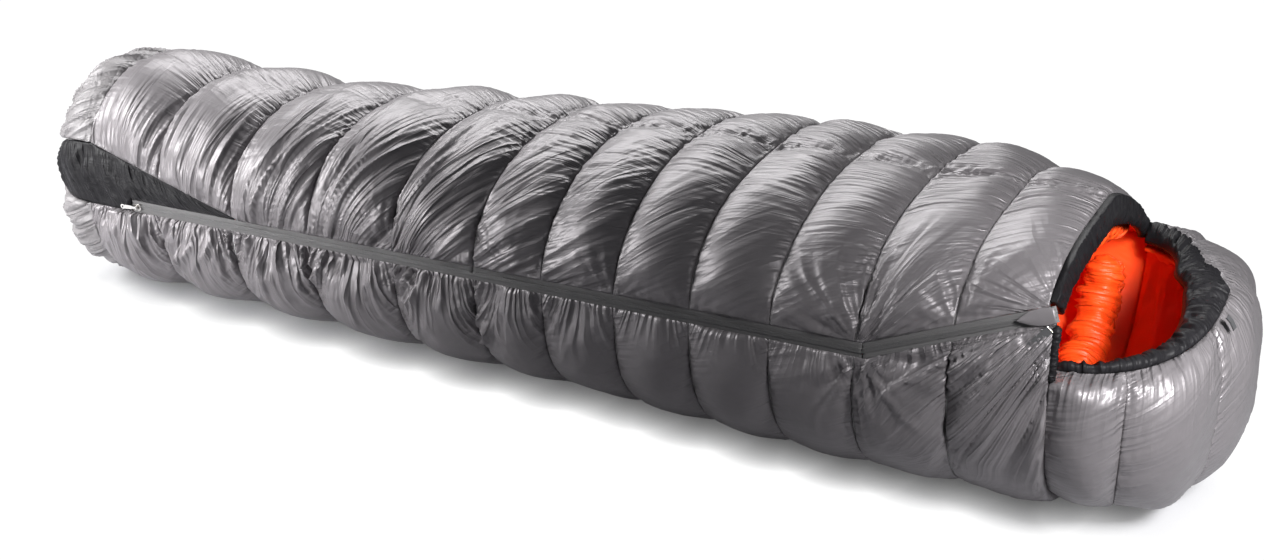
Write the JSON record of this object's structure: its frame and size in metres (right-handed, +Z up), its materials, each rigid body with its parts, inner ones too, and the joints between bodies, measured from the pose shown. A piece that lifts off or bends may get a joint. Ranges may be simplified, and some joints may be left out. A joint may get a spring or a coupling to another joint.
{
  "type": "mummy sleeping bag",
  "caption": "Down mummy sleeping bag, closed and lofted, with a hood, a shaped foot, an orange lining and a long two-slider side zip; its torso quilt folds open.",
  "frame": {"origin": "centre of the bounding box on the floor, under the middle of the bag", "axes": "+X along the bag towards the hood, -Y towards the zip side, +Z up"},
  "size_m": [2.1792, 0.6937, 0.444],
  "materials": {
    "shell_nylon": "shiny",
    "foot_nylon": "shiny",
    "black_nylon": "satin",
    "webbing": "matte",
    "baffle_mesh": "matte",
    "lining_nylon": "satin",
    "zip_tape": "matte",
    "zip_coil": "satin",
    "slider_metal": "polished",
    "tag_cloth": "matte"
  },
  "bodies": {
    "bag": {"top_chamber_01": "shell_nylon", "top_chamber_02": "shell_nylon", "top_chamber_03": "shell_nylon", "top_chamber_04": "shell_nylon", "top_chamber_05": "shell_nylon", "bottom_chamber_01": "shell_nylon", "bottom_chamber_02": "shell_nylon", "bottom_chamber_03": "shell_nylon", "bottom_chamber_04": "shell_nylon", "bottom_chamber_05": "shell_nylon", "bottom_chamber_06": "shell_nylon", "bottom_chamber_07": "shell_nylon", "bottom_chamber_08": "shell_nylon", "bottom_chamber_09": "shell_nylon", "bottom_chamber_10": "shell_nylon", "bottom_chamber_11": "shell_nylon", "bottom_chamber_12": "shell_nylon", "hood_near_side": "shell_nylon", "hood_near_crown": "shell_nylon", "hood_crown": "shell_nylon", "hood_far_crown": "shell_nylon", "hood_far_side": "shell_nylon", "foot_band": "foot_nylon", "foot_end_panel": "foot_nylon", "foot_gusset": "black_nylon", "hanging_loops": "webbing", "baffle_walls": "baffle_mesh", "bottom_lining": "lining_nylon", "leg_lining": "lining_nylon", "hood_lining": "lining_nylon", "hood_facing": "black_nylon", "lower_collar": "lining_nylon", "leg_draught_tube": "lining_nylon", "lower_tape": "zip_tape", "leg_tape": "zip_tape", "lower_coil": "zip_coil", "leg_coil": "zip_coil", "hood_strap": "webbing", "inner_tag": "tag_cloth"},
    "torso_lid": {"top_chamber_06": "shell_nylon", "top_chamber_07": "shell_nylon", "top_chamber_08": "shell_nylon", "top_chamber_09": "shell_nylon", "top_chamber_10": "shell_nylon", "top_chamber_11": "shell_nylon", "top_chamber_12": "shell_nylon", "torso_baffle_walls": "baffle_mesh", "torso_lining": "lining_nylon", "neck_facing": "black_nylon", "upper_collar": "lining_nylon", "torso_draught_tube": "lining_nylon", "torso_tape": "zip_tape", "torso_coil": "zip_coil"},
    "garage_flap": {"zip_garage": "shell_nylon"},
    "lower_slider": {"foot_slider": "slider_metal"},
    "lower_pull": {"foot_pull": "slider_metal"},
    "upper_slider": {"head_slider": "slider_metal"},
    "upper_pull": {"head_pull": "webbing"}
  },
  "joints": [
    {"name": "lid_hinge", "type": "hinge", "parent": "bag", "child": "torso_lid", "pos_m": [0.4, 0.36, 0.262], "axis": [-1, 0, 0], "range_deg": [0, 115]},
    {"name": "foot_slider_run", "type": "slide", "parent": "bag", "child": "lower_slider", "axis": [0.9935, -0.0996, 0.056], "range_m": [0, 1.409]},
    {"name": "foot_pull_swing", "type": "hinge", "parent": "lower_slider", "child": "lower_pull", "pos_m": [-0.79909, -0.21021, 0.19892], "axis": [-0.0557, 0.0056, 0.9984], "range_deg": [0, 150]},
    {"name": "head_slider_run", "type": "slide", "parent": "bag", "child": "upper_slider", "axis": [-0.9309, -0.1122, -0.3477], "range_m": [0, 0.226]},
    {"name": "head_pull_swing", "type": "hinge", "parent": "upper_slider", "child": "upper_pull", "pos_m": [0.86464, -0.32714, 0.35425], "axis": [-0.7806, 0.117, 0.614], "range_deg": [0, 110]},
    {"name": "garage_hinge", "type": "hinge", "parent": "torso_lid", "child": "garage_flap", "pos_m": [0.86778, -0.32638, 0.37292], "axis": [-0.3639, 0.1998, 0.9098], "range_deg": [0, 120]}
  ]
}
